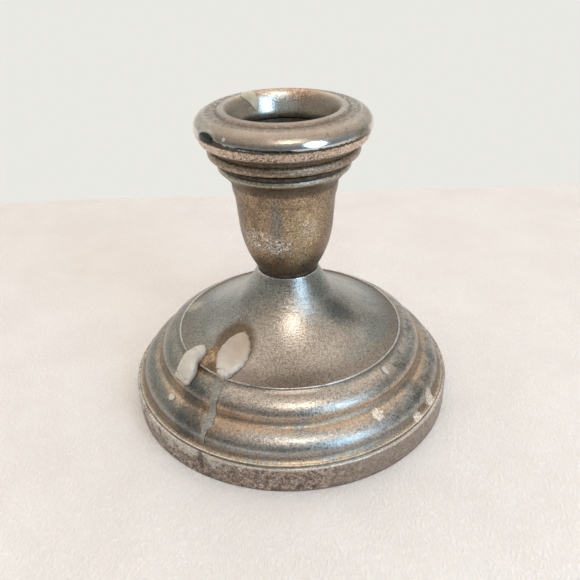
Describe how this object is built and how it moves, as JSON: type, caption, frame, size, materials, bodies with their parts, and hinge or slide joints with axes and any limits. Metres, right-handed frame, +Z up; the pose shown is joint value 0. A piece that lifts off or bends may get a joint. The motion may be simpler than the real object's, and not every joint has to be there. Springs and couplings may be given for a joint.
{
  "type": "taper candle holder",
  "caption": "Low weighted candlestick for a taper candle: wide spun foot with rolled steps, egg-shaped cup, stepped rolled rim, tarnished plate and old wax.",
  "frame": {"origin": "centre of the round underside, where the candlestick stands", "axes": "+Z up through the socket, +Y away from the viewer"},
  "size_m": [0.0888, 0.0888, 0.0828],
  "materials": {
    "silver_band": "worn, mottled brown tarnish over silver plate",
    "silver_foot": "tarnished silver plate, satin to bright",
    "silver_cup": "dark bronze-brown tarnish, speckled",
    "silver_rim": "bright silver plate, worn to copper below the roll",
    "socket_metal": "dark, sooted metal",
    "solder": "dull grey, dark with dirt",
    "zinc_steel": "zinc-plated steel",
    "plate_steel": "plain sheet",
    "cement": "rough cast filler",
    "pitch": "black setting pitch",
    "felt": "green felt",
    "wax_white": "translucent white wax",
    "wax_ivory": "ivory wax",
    "wax_grey": "dusty dried wax"
  },
  "bodies": {
    "root": {"foot_band": "silver_band", "base_shell": "silver_foot", "neck_ring": "solder", "candle_cup": "silver_cup", "rim_seam": "solder", "rim_shell": "silver_rim", "socket_liner": "socket_metal", "weight_fill": "cement", "cup_fill": "pitch", "reinforcing_rod": "zinc_steel", "upper_nut": "zinc_steel", "lower_nut": "zinc_steel", "upper_washer": "zinc_steel", "lower_washer": "zinc_steel", "bottom_plate": "plate_steel", "felt_pad": "felt", "wax_drop_large": "wax_white", "wax_drop_small": "wax_white", "wax_run": "wax_grey", "wax_rim_patch": "wax_ivory", "wax_flake_left": "wax_ivory", "wax_flake_right": "wax_ivory"}
  },
  "joints": []
}
